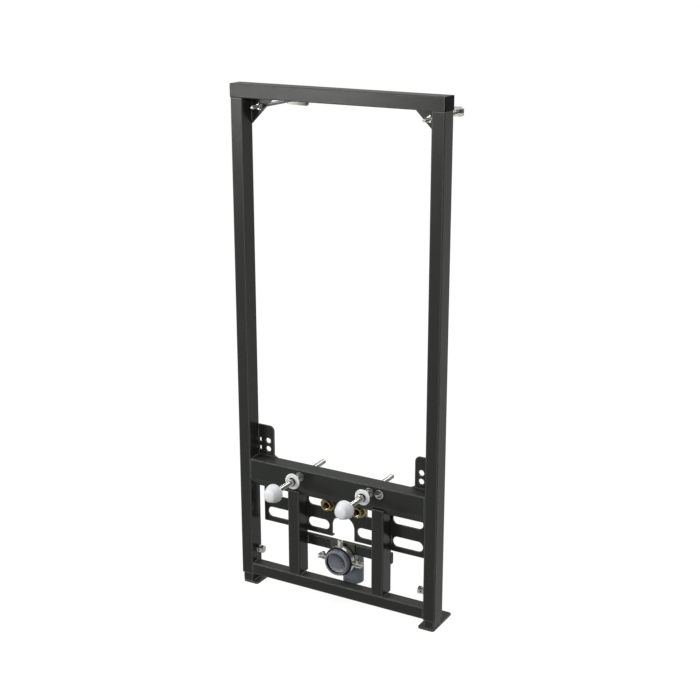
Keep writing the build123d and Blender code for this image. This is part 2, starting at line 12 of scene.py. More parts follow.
import bmesh
import bpy
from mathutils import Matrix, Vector


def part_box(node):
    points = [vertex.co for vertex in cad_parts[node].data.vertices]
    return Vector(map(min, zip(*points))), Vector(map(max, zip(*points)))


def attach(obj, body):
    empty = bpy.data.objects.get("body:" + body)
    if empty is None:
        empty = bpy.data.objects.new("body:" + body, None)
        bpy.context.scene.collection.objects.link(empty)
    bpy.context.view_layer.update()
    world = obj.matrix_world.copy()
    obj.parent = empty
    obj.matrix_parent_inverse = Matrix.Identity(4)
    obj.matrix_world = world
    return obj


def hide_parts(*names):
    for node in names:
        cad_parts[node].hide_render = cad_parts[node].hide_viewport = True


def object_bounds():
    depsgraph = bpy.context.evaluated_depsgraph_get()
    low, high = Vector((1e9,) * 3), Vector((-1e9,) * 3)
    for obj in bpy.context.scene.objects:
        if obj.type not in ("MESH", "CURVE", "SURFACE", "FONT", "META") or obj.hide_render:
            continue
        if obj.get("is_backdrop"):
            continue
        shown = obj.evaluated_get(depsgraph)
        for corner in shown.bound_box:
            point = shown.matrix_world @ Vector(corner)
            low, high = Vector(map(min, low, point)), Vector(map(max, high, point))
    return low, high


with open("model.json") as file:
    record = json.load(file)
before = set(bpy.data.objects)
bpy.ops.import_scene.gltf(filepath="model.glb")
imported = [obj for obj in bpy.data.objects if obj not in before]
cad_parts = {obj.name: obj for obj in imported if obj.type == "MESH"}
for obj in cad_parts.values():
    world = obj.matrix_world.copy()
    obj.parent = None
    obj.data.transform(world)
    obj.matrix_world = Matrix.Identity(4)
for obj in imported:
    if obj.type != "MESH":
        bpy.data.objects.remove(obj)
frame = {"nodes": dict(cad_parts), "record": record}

nodes = frame["nodes"]
sides = (("left", -1), ("right", 1))
cad_low, cad_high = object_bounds()
print("nodes:", len(nodes), "height:", round(cad_high[2], 4))

# %% [markdown]
# ## Camera
# The picture is taken from ahead of the frame, to its right and above its top. The camera's place is
# measured from the front of the posts and from the frame's top, and its lens from the focal length in
# pixels of a square picture. A new camera looks straight down, so it is turned up by 90 degrees before
# it is tilted.

# %% Camera
picture_width = 700
focal_pixels = 1337.3
sensor_mm = 36.0
camera_right = 1.3965
camera_ahead = 2.3920
camera_above = 0.3053
camera_yaw = 29.552
camera_pitch = -17.306

post_low, post_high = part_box("left_post")
top_low, top_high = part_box("top_beam")
bpy.ops.object.camera_add(
    location=(camera_right, post_low.y - camera_ahead, top_high.z + camera_above),
    rotation=(math.radians(90 + camera_pitch), 0, math.radians(camera_yaw)),
)
camera = bpy.context.object
camera.data.sensor_width = sensor_mm
camera.data.lens = sensor_mm * focal_pixels / picture_width
scene = bpy.context.scene
scene.camera = camera
scene.view_settings.view_transform = "Standard"
print("lens:", round(camera.data.lens, 2), "mm")

# %% [markdown]
# ## Nodes and colours
# Colours are written as sRGB hex, as a paint card gives them, and one function turns them to the linear
# values that shaders work in. Another small function adds any shader node with its settings and links,
# so that each material below reads as a short list.

# %% Helpers for materials
def linear(hex_colour):
    """Linear RGBA of an sRGB hex colour."""
    parts = [int(hex_colour[i:i + 2], 16) / 255 for i in (1, 3, 5)]
    return (*[c / 12.92 if c <= 0.04045 else ((c + 0.055) / 1.055) ** 2.4 for c in parts], 1.0)


def add_node(tree, kind, inputs, **settings):
    """Adds a node. An input is a value, or a pair of a node and the name of its output."""
    node = tree.nodes.new(kind)
    for name, value in settings.items():
        setattr(node, name, value)
    for name, value in inputs.items():
        if isinstance(value, tuple) and isinstance(value[0], bpy.types.Node):
            tree.links.new(value[0].outputs[value[1]], node.inputs[name])
        else:
            node.inputs[name].default_value = value
    return node


def new_material(name):
    """An empty material and its node tree."""
    material = bpy.data.materials.new(name)
    material.use_nodes = True
    material.node_tree.nodes.clear()
    return material, material.node_tree


def per_metre(millimetres):
    """Pattern scale that gives features of this size."""
    return 1000.0 / millimetres


pure_white = linear("#ffffff")
print("helpers ready, white is", pure_white[:3])

# %% [markdown]
# ## Studio
# Product pictures like this one are taken on a white sweep. The floor is a plain pale plane that the
# camera sees as white, apart from the object's shadow, and the world is white where the camera or a
# reflection sees it. Both ask what kind of ray has met them, so that their white adds no light to the
# object. The floor is in two halves and each rides on the foot that stands on it, so a foot that slides
# out takes its half down instead of sinking into it.

# %% Floor
floor_tone = "#626262"
floor_glow = (0.92, 0.985)
glow_reach = (0.6, 3.5)
floor_size = 60.0


def seen(tree):
    """A node that gives 1 to the camera and to what shines or is clear, and 0 to all other rays."""
    rays = add_node(tree, "ShaderNodeLightPath", {})
    indirect = add_node(tree, "ShaderNodeMath", {
        0: (rays, "Is Glossy Ray"), 1: (rays, "Is Transmission Ray"),
    }, operation="MAXIMUM")
    return add_node(tree, "ShaderNodeMath", {
        0: (rays, "Is Camera Ray"), 1: (indirect, "Value"),
    }, operation="MAXIMUM")


floor_paint, tree = new_material("white_studio_floor")
place = add_node(tree, "ShaderNodeTexCoord", {})
away = add_node(tree, "ShaderNodeVectorMath", {0: (place, "Object")}, operation="LENGTH")
level = add_node(tree, "ShaderNodeMapRange", {
    "Value": (away, "Value"), "From Min": glow_reach[0], "From Max": glow_reach[1],
    "To Min": floor_glow[0], "To Max": floor_glow[1],
})
glow = add_node(tree, "ShaderNodeMath", {
    0: (seen(tree), "Value"), 1: (level, "Result"),
}, operation="MULTIPLY")
paper = add_node(tree, "ShaderNodeBsdfPrincipled", {
    "Base Color": linear(floor_tone), "Roughness": 0.9, "Specular IOR Level": 0.0,
    "Emission Color": pure_white, "Emission Strength": (glow, "Value"),
})
add_node(tree, "ShaderNodeOutputMaterial", {"Surface": (paper, "BSDF")})
for side, s in sides:
    bpy.ops.object.select_all(action="DESELECT")
    bpy.ops.mesh.primitive_plane_add(size=floor_size, location=(s * floor_size / 2, 0, 0))
    bpy.ops.object.transform_apply(location=True)
    floor = bpy.context.object
    floor.name = f"{side}_floor"
    floor.data.materials.append(floor_paint)
    floor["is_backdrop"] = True
    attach(floor, f"{side}_foot")
    print(floor.name, "rides on", f"{side}_foot")

# %% World
soft_fill = 0.25
world = bpy.data.worlds.new("white_studio")
world.use_nodes = True
tree = world.node_tree
tree.nodes.clear()
fill = add_node(tree, "ShaderNodeBackground", {"Color": pure_white, "Strength": soft_fill})
white = add_node(tree, "ShaderNodeBackground", {"Color": pure_white, "Strength": 1.0})
both = add_node(tree, "ShaderNodeMixShader", {
    0: (seen(tree), "Value"), 1: (fill, "Background"), 2: (white, "Background"),
})
add_node(tree, "ShaderNodeOutputWorld", {"Surface": (both, "Shader")})
scene.world = world
print("world is white, its fill", soft_fill)

# %% [markdown]
# ### Soft boxes
# Large square lamps give soft shadows and broad gleams. Two stand high, because the frame's top faces
# are its brightest, and the one on the camera's side lights the caps too. A small low one on the left
# gives the top beam its long gleam, and one behind shows the back. Each has its place and size in metres
# and its power in watts.

# %% Soft boxes
soft_boxes = (
    ("low_left_box", (-1.51, -2.45, 0.90), (0.80, 0.34), 30.0),
    ("high_left_box", (-1.6, -1.2, 3.0), (1.2, 1.2), 55.0),
    ("high_right_box", (1.6, -2.7, 1.95), (1.4, 1.2), 52.0),
    ("back_box", (0.4, 2.8, 2.2), (1.6, 1.2), 50.0),
)
aim = Vector((0.0, 0.0, 0.5))
for name, place, size, power in soft_boxes:
    bpy.ops.object.light_add(type="AREA", location=place)
    box = bpy.context.object
    box.name = name
    box.data.shape = "RECTANGLE"
    box.data.size, box.data.size_y = size
    box.data.energy = power
    box.rotation_euler = (box.location - aim).to_track_quat("Z", "Y").to_euler()
    print(name, power, "W")

# %% [markdown]
# ## Powder coat
# Polyester powder is sprayed dry on the steel and melted in an oven. It flows into a satin skin with a
# faint orange peel, ripples a few millimetres long. The peel is drawn as bump, and the sheen drifts a
# little from place to place, as the skin's thickness does. More powder settles on the faces that look
# up, and they cure duller, so the shader reads the surface's own direction for their gloss. Along sharp
# edges a lighter colour is painted in, a painted highlight that stands in for the lamps' gleam on the
# rounded edges. Comparing the true surface with one whose edges are rounded finds those edges.

# %% Charcoal powder coat
coat_tones = ("#252724", "#2c2d2a")
# Painted highlight: a lighter colour on the edges stands in for the lamps' gleam on rounded edges.
painted_edge_highlight_tone = "#595b58"
coat_roughness = (0.22, 0.30)
settled_roughness = 0.2
looks_up = (0.93, 1.0)
drift_mm = 60
peel_mm = 2.5
peel_depth = 0.0004
edge_radius = 0.0035
edge_turn = (0.999, 0.97)


def powder_coat():
    """The frame's paint, with settled tops and a painted highlight along its edges."""
    material, tree = new_material("charcoal_powder_coat")
    place = add_node(tree, "ShaderNodeTexCoord", {})
    drift = add_node(tree, "ShaderNodeTexNoise", {
        "Vector": (place, "Object"), "Scale": per_metre(drift_mm), "Detail": 2.0,
    })
    facing = add_node(tree, "ShaderNodeSeparateXYZ", {"Vector": (place, "Normal")})
    settled = add_node(tree, "ShaderNodeMapRange", {
        "Value": (facing, "Z"), "From Min": looks_up[0], "From Max": looks_up[1],
        "To Min": 0.0, "To Max": settled_roughness,
    })
    sheen = add_node(tree, "ShaderNodeMapRange", {
        "Value": (drift, "Fac"), "To Min": coat_roughness[0], "To Max": coat_roughness[1],
    })
    rough = add_node(tree, "ShaderNodeMath", {
        0: (sheen, "Result"), 1: (settled, "Result"),
    }, operation="ADD")
    peel = add_node(tree, "ShaderNodeTexNoise", {
        "Vector": (place, "Object"), "Scale": per_metre(peel_mm), "Detail": 1.0,
    })
    ripple = add_node(tree, "ShaderNodeBump", {
        "Height": (peel, "Fac"), "Strength": 0.06, "Distance": peel_depth,
    })
    tone = add_node(tree, "ShaderNodeMix", {
        "Factor": (drift, "Fac"), "A": linear(coat_tones[0]), "B": linear(coat_tones[1]),
    }, data_type="RGBA")
    surface = add_node(tree, "ShaderNodeNewGeometry", {})
    rounded = add_node(tree, "ShaderNodeBevel", {"Radius": edge_radius}, samples=6)
    flatness = add_node(tree, "ShaderNodeVectorMath", {
        0: (rounded, "Normal"), 1: (surface, "Normal"),
    }, operation="DOT_PRODUCT")
    edge = add_node(tree, "ShaderNodeMapRange", {
        "Value": (flatness, "Value"), "From Min": edge_turn[0], "From Max": edge_turn[1],
        "To Min": 0.0, "To Max": 1.0,
    })
    # Painted highlight: the edges take a lighter colour in place of the lamps' gleam.
    tone = add_node(tree, "ShaderNodeMix", {
        "Factor": (edge, "Result"), "A": (tone, "Result"), "B": linear(painted_edge_highlight_tone),
    }, data_type="RGBA")
    skin = add_node(tree, "ShaderNodeBsdfPrincipled", {
        "Base Color": (tone, "Result"), "Roughness": (rough, "Value"), "IOR": 1.5,
        "Specular IOR Level": 0.10, "Normal": (ripple, "Normal"),
    })
    add_node(tree, "ShaderNodeOutputMaterial", {"Surface": (skin, "BSDF")})
    return material


coat = powder_coat()
print("made", coat.name)

# %% [markdown]
# ## Zinc plating and brass
# Rods, nuts and screws are steel plated with bright zinc, a grey and slightly warm metal whose crystals
# scatter the light in soft patches a few millimetres wide. Inserts, wall rods and wall plates get a darker
# grey zinc, partly a greyer plating and partly painted shade for the dark reflections that they show. The
# drain clamp's hoop gets a satin zinc, rougher as satin plating is, whose paler tone is painted light for
# the bright reflection on it. The plate behind the hoop has a dull olive passivation. The tap elbows are
# hot-pressed brass, left as they come from the die: brown in the hollows and tan where the tool has turned
# them. All are bare metal with a stain in its colour, a drift in its gloss and a fine grain, so one
# function makes them from those facts.

# %% Bare metals
metal_drift = 0.06
grain_distance = 0.0001


def bare_metal(name, dark, light, gloss, stain_mm, grain_mm, grain_depth):
    """A metal between two tones, with its mean roughness and the sizes of its stain and grain."""
    material, tree = new_material(name)
    place = add_node(tree, "ShaderNodeTexCoord", {})
    stain = add_node(tree, "ShaderNodeTexNoise", {
        "Vector": (place, "Object"), "Scale": per_metre(stain_mm), "Detail": 3.0,
    })
    tone = add_node(tree, "ShaderNodeMix", {
        "Factor": (stain, "Fac"), "A": linear(dark), "B": linear(light),
    }, data_type="RGBA")
    sheen = add_node(tree, "ShaderNodeMapRange", {
        "Value": (stain, "Fac"), "To Min": gloss + metal_drift, "To Max": gloss - metal_drift,
    })
    grain = add_node(tree, "ShaderNodeTexNoise", {
        "Vector": (place, "Object"), "Scale": per_metre(grain_mm),
    })
    skin = add_node(tree, "ShaderNodeBump", {
        "Height": (grain, "Fac"), "Strength": grain_depth, "Distance": grain_distance,
    })
    metal = add_node(tree, "ShaderNodeBsdfPrincipled", {
        "Base Color": (tone, "Result"), "Metallic": 1.0, "Roughness": (sheen, "Result"),
        "Normal": (skin, "Normal"),
    })
    add_node(tree, "ShaderNodeOutputMaterial", {"Surface": (metal, "BSDF")})
    return material


zinc = bare_metal(
    "bright_zinc_plating", "#80807d", "#adada9", gloss=0.22, stain_mm=4, grain_mm=0.8, grain_depth=0.08,
)
dull_zinc = bare_metal(
    "olive_passivated_zinc", "#3d3e37", "#4c4d45", gloss=0.50, stain_mm=12, grain_mm=1.0, grain_depth=0.10,
)
# Darker grey zinc: partly a greyer plating, partly painted shade for dark reflections.
grey_and_shaded_zinc = bare_metal(
    "grey_and_shaded_zinc_plating", "#555552", "#7e7e7a", gloss=0.36, stain_mm=4, grain_mm=0.8, grain_depth=0.10,
)
# Satin zinc: rougher like satin plating; its paler tone is painted light for a bright reflection.
satin_zinc_painted_light = bare_metal(
    "satin_zinc_plating_painted_light", "#a5a49f", "#c8c7c2", gloss=0.50, stain_mm=8, grain_mm=0.8, grain_depth=0.10,
)
brass = bare_metal(
    "pressed_brass", "#2b2518", "#938465", gloss=0.24, stain_mm=6, grain_mm=1.0, grain_depth=0.12,
)
print("made", *[metal.name for metal in (zinc, dull_zinc, grey_and_shaded_zinc, satin_zinc_painted_light, brass)])

# %% [markdown]
# ## Plastics and rubber
# Caps and bushes are white polyethylene, soft-looking and a little waxy. The drain elbow is grey
# polypropylene, the end plugs are black polyethylene, and the seal, the clamp's liner and the washers
# under the rod nuts are rubber. All are moulded, and differ in colour, gloss and the grain that their
# mould leaves, so one function makes them from those few facts.

# %% Moulded plastics and rubber
cloud_mm = 18
plastic_drift = 0.05


def moulded(name, dark, light, gloss, grain_mm, grain_depth, specular):
    """A plastic between two tones, with its mean roughness, the grain of its mould and its shine."""
    material, tree = new_material(name)
    place = add_node(tree, "ShaderNodeTexCoord", {})
    clouds = add_node(tree, "ShaderNodeTexNoise", {
        "Vector": (place, "Object"), "Scale": per_metre(cloud_mm), "Detail": 2.0,
    })
    tone = add_node(tree, "ShaderNodeMix", {
        "Factor": (clouds, "Fac"), "A": linear(dark), "B": linear(light),
    }, data_type="RGBA")
    sheen = add_node(tree, "ShaderNodeMapRange", {
        "Value": (clouds, "Fac"), "To Min": gloss - plastic_drift, "To Max": gloss + plastic_drift,
    })
    grain = add_node(tree, "ShaderNodeTexNoise", {
        "Vector": (place, "Object"), "Scale": per_metre(grain_mm),
    })
    skin = add_node(tree, "ShaderNodeBump", {
        "Height": (grain, "Fac"), "Strength": grain_depth, "Distance": grain_distance,
    })
    plastic = add_node(tree, "ShaderNodeBsdfPrincipled", {
        "Base Color": (tone, "Result"), "Roughness": (sheen, "Result"), "IOR": 1.5,
        "Specular IOR Level": specular, "Normal": (skin, "Normal"),
    })
    add_node(tree, "ShaderNodeOutputMaterial", {"Surface": (plastic, "BSDF")})
    return material


white_plastic = moulded(
    "white_polyethylene", "#d4d5d7", "#dddee0", gloss=0.46, grain_mm=1.2, grain_depth=0.08, specular=0.4,
)
grey_plastic = moulded(
    "grey_polypropylene", "#656a71", "#777c84", gloss=0.50, grain_mm=1.5, grain_depth=0.10, specular=0.22,
)
black_plastic = moulded(
    "black_polyethylene", "#0c0c0c", "#141414", gloss=0.60, grain_mm=0.8, grain_depth=0.15, specular=0.03,
)
rubber = moulded(
    "black_rubber", "#080808", "#101010", gloss=0.70, grain_mm=0.6, grain_depth=0.25, specular=0.25,
)
print("made", white_plastic.name, grey_plastic.name, black_plastic.name, rubber.name)

# %% [markdown]
# ### Painted light in the bore of the drain elbow
# The inner wall of the elbow's bore is painted paler than the grained outside, painted light that stands
# in for the light reaching into the mouth. Each point's distance from the axis of the mouth tells the two
# apart, and the pale tone fades out before the bend.

# %% Bore painted paler as painted light
painted_light_bore_tone = "#a4a9b0"
bore_radius, bore_depth = 0.0247, 0.076
fade_starts = 0.8 * bore_depth
low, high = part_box("drain_seal")
mouth = ((low.x + high.x) / 2, low.y, (low.z + high.z) / 2)
tree = grey_plastic.node_tree
place = add_node(tree, "ShaderNodeTexCoord", {})
offset = add_node(tree, "ShaderNodeVectorMath", {0: (place, "Object"), 1: mouth}, operation="SUBTRACT")
across = add_node(tree, "ShaderNodeVectorMath", {
    0: (offset, "Vector"), 1: (1.0, 0.0, 1.0),
}, operation="MULTIPLY")
distance = add_node(tree, "ShaderNodeVectorMath", {0: (across, "Vector")}, operation="LENGTH")
within = add_node(tree, "ShaderNodeMath", {
    0: (distance, "Value"), 1: bore_radius,
}, operation="LESS_THAN")
inward = add_node(tree, "ShaderNodeSeparateXYZ", {0: (offset, "Vector")})
shallow = add_node(tree, "ShaderNodeMapRange", {
    "Value": (inward, "Y"), "From Min": bore_depth, "From Max": fade_starts,
})
share = add_node(tree, "ShaderNodeMath", {
    0: (within, "Value"), 1: (shallow, "Result"),
}, operation="MULTIPLY")
plastic = tree.nodes["Principled BSDF"]
outside = plastic.inputs["Base Color"].links[0].from_node
# Painted light: the bore's wall is mixed toward a paler tone.
tone = add_node(tree, "ShaderNodeMix", {
    "Factor": (share, "Value"), "A": (outside, "Result"), "B": linear(painted_light_bore_tone),
}, data_type="RGBA")
tree.links.new(tone.outputs["Result"], plastic.inputs["Base Color"])
print("paler bore within", bore_radius, "m of the axis")

# %% [markdown]
# ## Finishes of the solids
# The record says which material each solid takes, so one loop dresses them all. A few plated ones then
# get another zinc: the olive one on the bracket, the darker grey one that is partly painted shade, and
# the paler satin one whose tone is painted light.

# %% Finishes of the solids
finishes = {
    "frame_coat": coat, "zinc_steel": zinc, "brass": brass, "white_plastic": white_plastic,
    "grey_plastic": grey_plastic, "black_plastic": black_plastic, "rubber": rubber,
}
# Darker grey zinc here is partly painted shade; the satin zinc's paler tone is painted light.
plated = {
    "clamp_bracket": dull_zinc, "clamp_upper": satin_zinc_painted_light, "clamp_lower": satin_zinc_painted_light,
    "left_insert": grey_and_shaded_zinc, "right_insert": grey_and_shaded_zinc,
    "left_wall_plate": grey_and_shaded_zinc, "right_wall_plate": grey_and_shaded_zinc,
}
for part in frame["record"]["subparts"]:
    finish = plated.get(part["node"], finishes[part["material_slot"]])
    for material_slot in nodes[part["node"]].material_slots:
        material_slot.material = finish
print("finishes:", len(finishes), "and", len(plated), "solids with a plating of their own")

# %% [markdown]
# ## Ways of working
# Every new piece starts as a primitive, is shaped in edit mode and is finished with modifiers. A few
# helpers keep that short. One opens a new primitive for editing. One selects faces, edges or points by
# their place. One cuts, crops or joins two shapes. One copies a finished shape to its place. The last
# names the piece, bakes its place into its mesh and hands it to the body that carries it.

# %% Helpers for modelling
millimetre = 0.001
tiny = 1e-6
turned_steps = 48
smooth_angle = math.radians(32)


def only(piece):
    """Makes a piece the only one selected."""
    bpy.ops.object.select_all(action="DESELECT")
    piece.select_set(True)
    bpy.context.view_layer.objects.active = piece


def begin(add_primitive, **settings):
    """Adds a primitive at the origin and opens it for editing, all of it selected."""
    bpy.ops.object.select_all(action="DESELECT")
    add_primitive(location=(0, 0, 0), **settings)
    bpy.ops.object.mode_set(mode="EDIT")
    bpy.ops.mesh.select_all(action="SELECT")
    return bpy.context.object


def pick(piece, test, kind="FACE"):
    """Selects the faces, edges or points whose middle passes a test."""
    bpy.ops.mesh.select_mode(type=kind)
    bpy.ops.mesh.select_all(action="DESELECT")
    shape = bmesh.from_edit_mesh(piece.data)
    for part in {"FACE": shape.faces, "EDGE": shape.edges, "VERT": shape.verts}[kind]:
        corners = [part.co] if kind == "VERT" else [corner.co for corner in part.verts]
        if test(sum(corners, Vector()) / len(corners)):
            part.select = True
    shape.select_flush_mode()
    bmesh.update_edit_mesh(piece.data)


def close_up(piece):
    """Merges doubled points, turns the faces outwards and leaves edit mode."""
    bpy.ops.mesh.select_all(action="SELECT")
    bpy.ops.mesh.remove_doubles(threshold=tiny)
    bpy.ops.mesh.normals_make_consistent(inside=False)
    bpy.ops.object.mode_set(mode="OBJECT")
    return piece


def carve(piece, tool, operation):
    """Cuts, crops or joins a piece with a second shape, which is then deleted."""
    only(piece)
    cut = piece.modifiers.new("carve", "BOOLEAN")
    cut.operation = operation
    cut.solver = "EXACT"
    cut.object = tool
    bpy.ops.object.modifier_apply(modifier=cut.name)
    bpy.data.objects.remove(tool)
    return piece


def join(piece, *others):
    """Makes one piece of several."""
    only(piece)
    for other in others:
        other.select_set(True)
    bpy.ops.object.join()
    return piece


def copy_to(shape, place, turn=(0, 0, 0)):
    """A copy of a finished shape, with a mesh of its own, turned and set in its place."""
    only(shape)
    bpy.ops.object.duplicate(linked=False)
    copy = bpy.context.object
    copy.location = place
    copy.rotation_euler = turn
    return copy


def settle(piece, name, material, replaced=(), body="frame"):
    """Names a piece, bakes in its place and hands it to the body that carries it."""
    only(piece)
    bpy.ops.object.transform_apply(location=True, rotation=True, scale=True)
    bpy.ops.object.shade_smooth_by_angle(angle=smooth_angle)
    piece.name = name
    piece.data.name = name
    piece.data.materials.clear()
    piece.data.materials.append(material)
    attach(piece, body)
    if replaced:
        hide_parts(*replaced)
    print(name, len(piece.data.polygons), "faces")


# A shape stands along +Z while it is made. These turns lay it towards the front or along X.
to_front = (math.pi / 2, 0, 0)
to_right = (0, math.pi / 2, 0)
to_left = (0, -math.pi / 2, 0)
print("a turned face has", turned_steps, "sides")

# %% [markdown]
# ## Threads
# The rods are rolled with a coarse metric thread from end to end. A helix could be bump, but the thread
# shows on the rod's outline, so it is cut in the mesh: a square loses its inner edge, which leaves the
# three edges of one thread, and the Screw modifier winds them up the rod. The two ends are cut off flat,
# and the far one gets the lead-in that a nut needs.

# %% Rolled thread
thread_steps = 20
thread_share = 0.61
crest_share = 0.45
edge_zone = 0.1
lead_in = 0.8 * millimetre


def thread_edges(radius, pitch, depth):
    """One thread's profile beside the Z axis, with its crest away from the axis."""
    profile = begin(bpy.ops.mesh.primitive_plane_add, size=pitch)
    bpy.ops.transform.rotate(value=math.pi / 2, orient_axis="X", center_override=(0, 0, 0))
    bpy.ops.transform.resize(value=(depth / pitch, 1, 1), center_override=(0, 0, 0))
    bpy.ops.transform.translate(value=(radius - depth / 2, 0, -pitch / 2))
    pick(profile, lambda p: p.x > radius - edge_zone * depth, "EDGE")
    bpy.ops.transform.resize(value=(1, 1, crest_share), center_override=(radius, 0, -pitch / 2))
    return profile


def wind(profile, pitch, turns):
    """Winds a profile up the Z axis."""
    bpy.ops.object.mode_set(mode="OBJECT")
    helix = profile.modifiers.new("helix", "SCREW")
    helix.axis = "Z"
    helix.angle = 2 * math.pi
    helix.screw_offset = pitch
    helix.iterations = turns
    helix.steps = helix.render_steps = thread_steps
    bpy.ops.object.modifier_apply(modifier=helix.name)
    bpy.ops.object.mode_set(mode="EDIT")
    bpy.ops.mesh.select_all(action="SELECT")
    bpy.ops.mesh.remove_doubles(threshold=tiny)


def threaded_rod(radius, pitch, length):
    """A rod along Z from the origin, threaded from end to end."""
    depth = thread_share * pitch
    rod = thread_edges(radius, pitch, depth)
    pick(rod, lambda p: p.x < radius - (1 - edge_zone) * depth, "EDGE")
    bpy.ops.mesh.delete(type="EDGE")
    wind(rod, pitch, math.ceil(length / pitch) + 2)
    shoulder = length - lead_in
    for height, ends in ((0, {"clear_inner": True}), (shoulder, {"clear_outer": True})):
        bpy.ops.mesh.select_all(action="SELECT")
        bpy.ops.mesh.bisect(plane_co=(0, 0, height), plane_no=(0, 0, 1), use_fill=True, **ends)
    pick(rod, lambda p: p.z > shoulder - tiny)
    bpy.ops.mesh.extrude_region_move(TRANSFORM_OT_translate={"value": (0, 0, lead_in)})
    narrow = (radius - depth) / radius
    bpy.ops.transform.resize(value=(narrow, narrow, 1), center_override=(0, 0, length))
    return close_up(rod)


for name, pitch_mm, plating in (("fixing_rod", 1.75, zinc), ("wall_rod", 1.25, grey_and_shaded_zinc)):
    low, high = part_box(f"left_{name}")
    rod = threaded_rod((high.x - low.x) / 2, pitch_mm * millimetre, high.y - low.y)
    for side, s in sides:
        low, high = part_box(f"{side}_{name}")
        copy = copy_to(rod, ((low.x + high.x) / 2, high.y, (low.z + high.z) / 2), to_front)
        settle(copy, f"{side}_threaded_{name}", plating, (f"{side}_{name}",))
    bpy.data.objects.remove(rod)

# %% [markdown]
# ## Nuts and bolts
# A nut is sawn from hexagon bar, and its corners are turned off at 30 degrees, which leaves the curved
# edges that catch the light. The same is done here: a six-sided bar is cropped by a turned blank whose
# ends are chamfered, and then bored. Bolts add a thread and a head, and washers are short turned rings.

# %% Hexagons and rings
corner_cut = 0.10
corner_slope = math.tan(math.radians(30))


def turned_disc(radius, height, run, rise, ends):
    """A disc along Z from the origin, its rim chamfered at the given ends."""
    disc = begin(bpy.ops.mesh.primitive_cylinder_add, vertices=turned_steps, radius=radius, depth=height)
    for end in ends:
        pick(disc, lambda p: end * p.z > height / 2 - tiny)
        bpy.ops.mesh.inset(thickness=run)
        rim = radius - run / 2
        pick(disc, lambda p: end * p.z > height / 2 - tiny and p.xy.length > rim, "VERT")
        bpy.ops.transform.translate(value=(0, 0, -end * rise))
    bpy.ops.mesh.select_all(action="SELECT")
    bpy.ops.transform.translate(value=(0, 0, height / 2))
    return close_up(disc)


def bored(piece, radius, height):
    """The piece, as tall as given, with a hole through it along Z."""
    drill = begin(
        bpy.ops.mesh.primitive_cylinder_add, vertices=turned_steps, radius=radius, depth=4 * height,
    )
    return carve(piece, close_up(drill), "DIFFERENCE")


def hexagon(flats, height, ends=(1, -1)):
    """A hexagon along Z from the origin, its corners turned off at the given ends."""
    corner = flats / math.sqrt(3)
    bar = begin(bpy.ops.mesh.primitive_cylinder_add, vertices=6, radius=corner, depth=height)
    bpy.ops.transform.rotate(value=math.pi / 6, orient_axis="Z", center_override=(0, 0, 0))
    bpy.ops.transform.translate(value=(0, 0, height / 2))
    close_up(bar)
    run = corner_cut * flats
    return carve(bar, turned_disc(corner, height, run, run * corner_slope, ends), "INTERSECT")


def hexagon_nut(flats, height, bore, ends=(1, -1)):
    """A bored hexagon along Z from the origin."""
    return bored(hexagon(flats, height, ends), bore, height)


def ring(radius, bore, height, edge):
    """A washer along Z from the origin with softened rims."""
    return bored(turned_disc(radius, height, edge, edge, (1, -1)), bore, height)


print("a corner is cut back by", corner_cut, "of the width across flats")

# %% [markdown]
# ### Nuts of the rods
# On each fixing rod a nut holds a thick rubber washer against the bush. On each wall rod a smaller nut
# sits on a thin steel washer, and the two are made one piece.

# %% Nuts and rubber washers on the fixing rods
washer_depth = 6 * millimetre
nut = hexagon_nut(flats=18 * millimetre, height=6 * millimetre, bore=5.6 * millimetre)
washer = ring(
    radius=9.8 * millimetre, bore=6 * millimetre, height=washer_depth, edge=0.7 * millimetre,
)
for side, s in sides:
    low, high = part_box(f"{side}_rod_nut")
    x, z = (low.x + high.x) / 2, (low.z + high.z) / 2
    settle(copy_to(washer, (x, high.y, z), to_front), f"{side}_rod_washer", rubber)
    settle(
        copy_to(nut, (x, high.y - washer_depth, z), to_front),
        f"{side}_hexagon_nut", zinc, (f"{side}_rod_nut",),
    )
for shape in (nut, washer):
    bpy.data.objects.remove(shape)

# %% Nuts and washers on the wall rods
washer_depth = 1.6 * millimetre
nut = hexagon_nut(flats=13 * millimetre, height=6.5 * millimetre, bore=3.7 * millimetre)
washer = ring(
    radius=8 * millimetre, bore=4 * millimetre, height=washer_depth, edge=0.3 * millimetre,
)
nut.location.z = washer_depth
nut = join(washer, nut)
for side, s in sides:
    low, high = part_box(f"{side}_wall_nut")
    copy = copy_to(nut, ((low.x + high.x) / 2, high.y, (low.z + high.z) / 2), to_front)
    settle(copy, f"{side}_wall_nut_and_washer", zinc, (f"{side}_wall_nut",))
bpy.data.objects.remove(nut)

# %% [markdown]
# ### Bolts and screws
# A bolt in a welded nut clamps each foot. Its head and the nut are chamfered only on the side that
# shows. The drain clamp is drawn together by two socket screws: a round head with a six-sided recess for
# the key, a fine thread, and a small nut near its end.

# %% Foot bolts in their weld nuts
head_height = 6.5 * millimetre
bolt_flats = 17 * millimetre
low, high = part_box("left_foot_bolt")
shank = high.x - low.x - head_height
bolt = threaded_rod(radius=5 * millimetre, pitch=1.5 * millimetre, length=shank + lead_in)
head = hexagon(bolt_flats, head_height, ends=(1,))
head.location.z = shank
bolt = join(bolt, head)
low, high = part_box("left_weld_nut")
nut = hexagon_nut(bolt_flats, height=high.x - low.x, bore=4.6 * millimetre, ends=(1,))
for side, s in sides:
    inwards = to_right if s < 0 else to_left
    for shape, name in ((bolt, "foot_bolt"), (nut, "weld_nut")):
        low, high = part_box(f"{side}_{name}")
        x = low.x if s < 0 else high.x
        copy = copy_to(shape, (x, (low.y + high.y) / 2, (low.z + high.z) / 2), inwards)
        settle(copy, f"{side}_chamfered_{name}", zinc, (f"{side}_{name}",))
for shape in (bolt, nut):
    bpy.data.objects.remove(shape)

